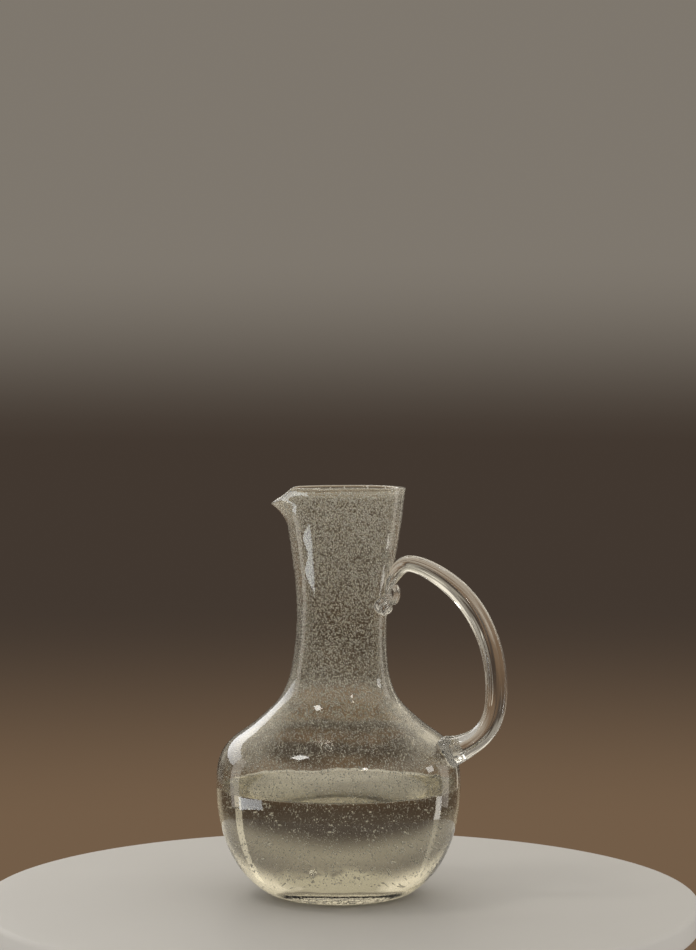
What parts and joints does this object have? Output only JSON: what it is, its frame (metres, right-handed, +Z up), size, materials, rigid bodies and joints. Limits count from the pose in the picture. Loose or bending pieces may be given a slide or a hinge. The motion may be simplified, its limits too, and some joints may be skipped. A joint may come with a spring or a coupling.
{
  "type": "water pitcher",
  "caption": "Hand-blown clear glass pitcher with a round belly, narrow neck, pulled pouring lip and an applied glass handle, for holding and pouring water.",
  "frame": {"origin": "centre of the ground flat under the foot, on the surface that the pitcher stands on", "axes": "+Z up along the body, +X towards the handle, +Y across the handle; the pouring lip points 18 degrees from -X towards -Y"},
  "size_m": [0.1806, 0.15, 0.25],
  "materials": {
    "seeded_glass": "polished hand-blown clear glass full of fine seed bubbles",
    "clear_glass": "polished solid clear glass cane without seeds"
  },
  "bodies": {
    "root": {"vessel": "seeded_glass", "handle": "clear_glass"}
  },
  "joints": []
}
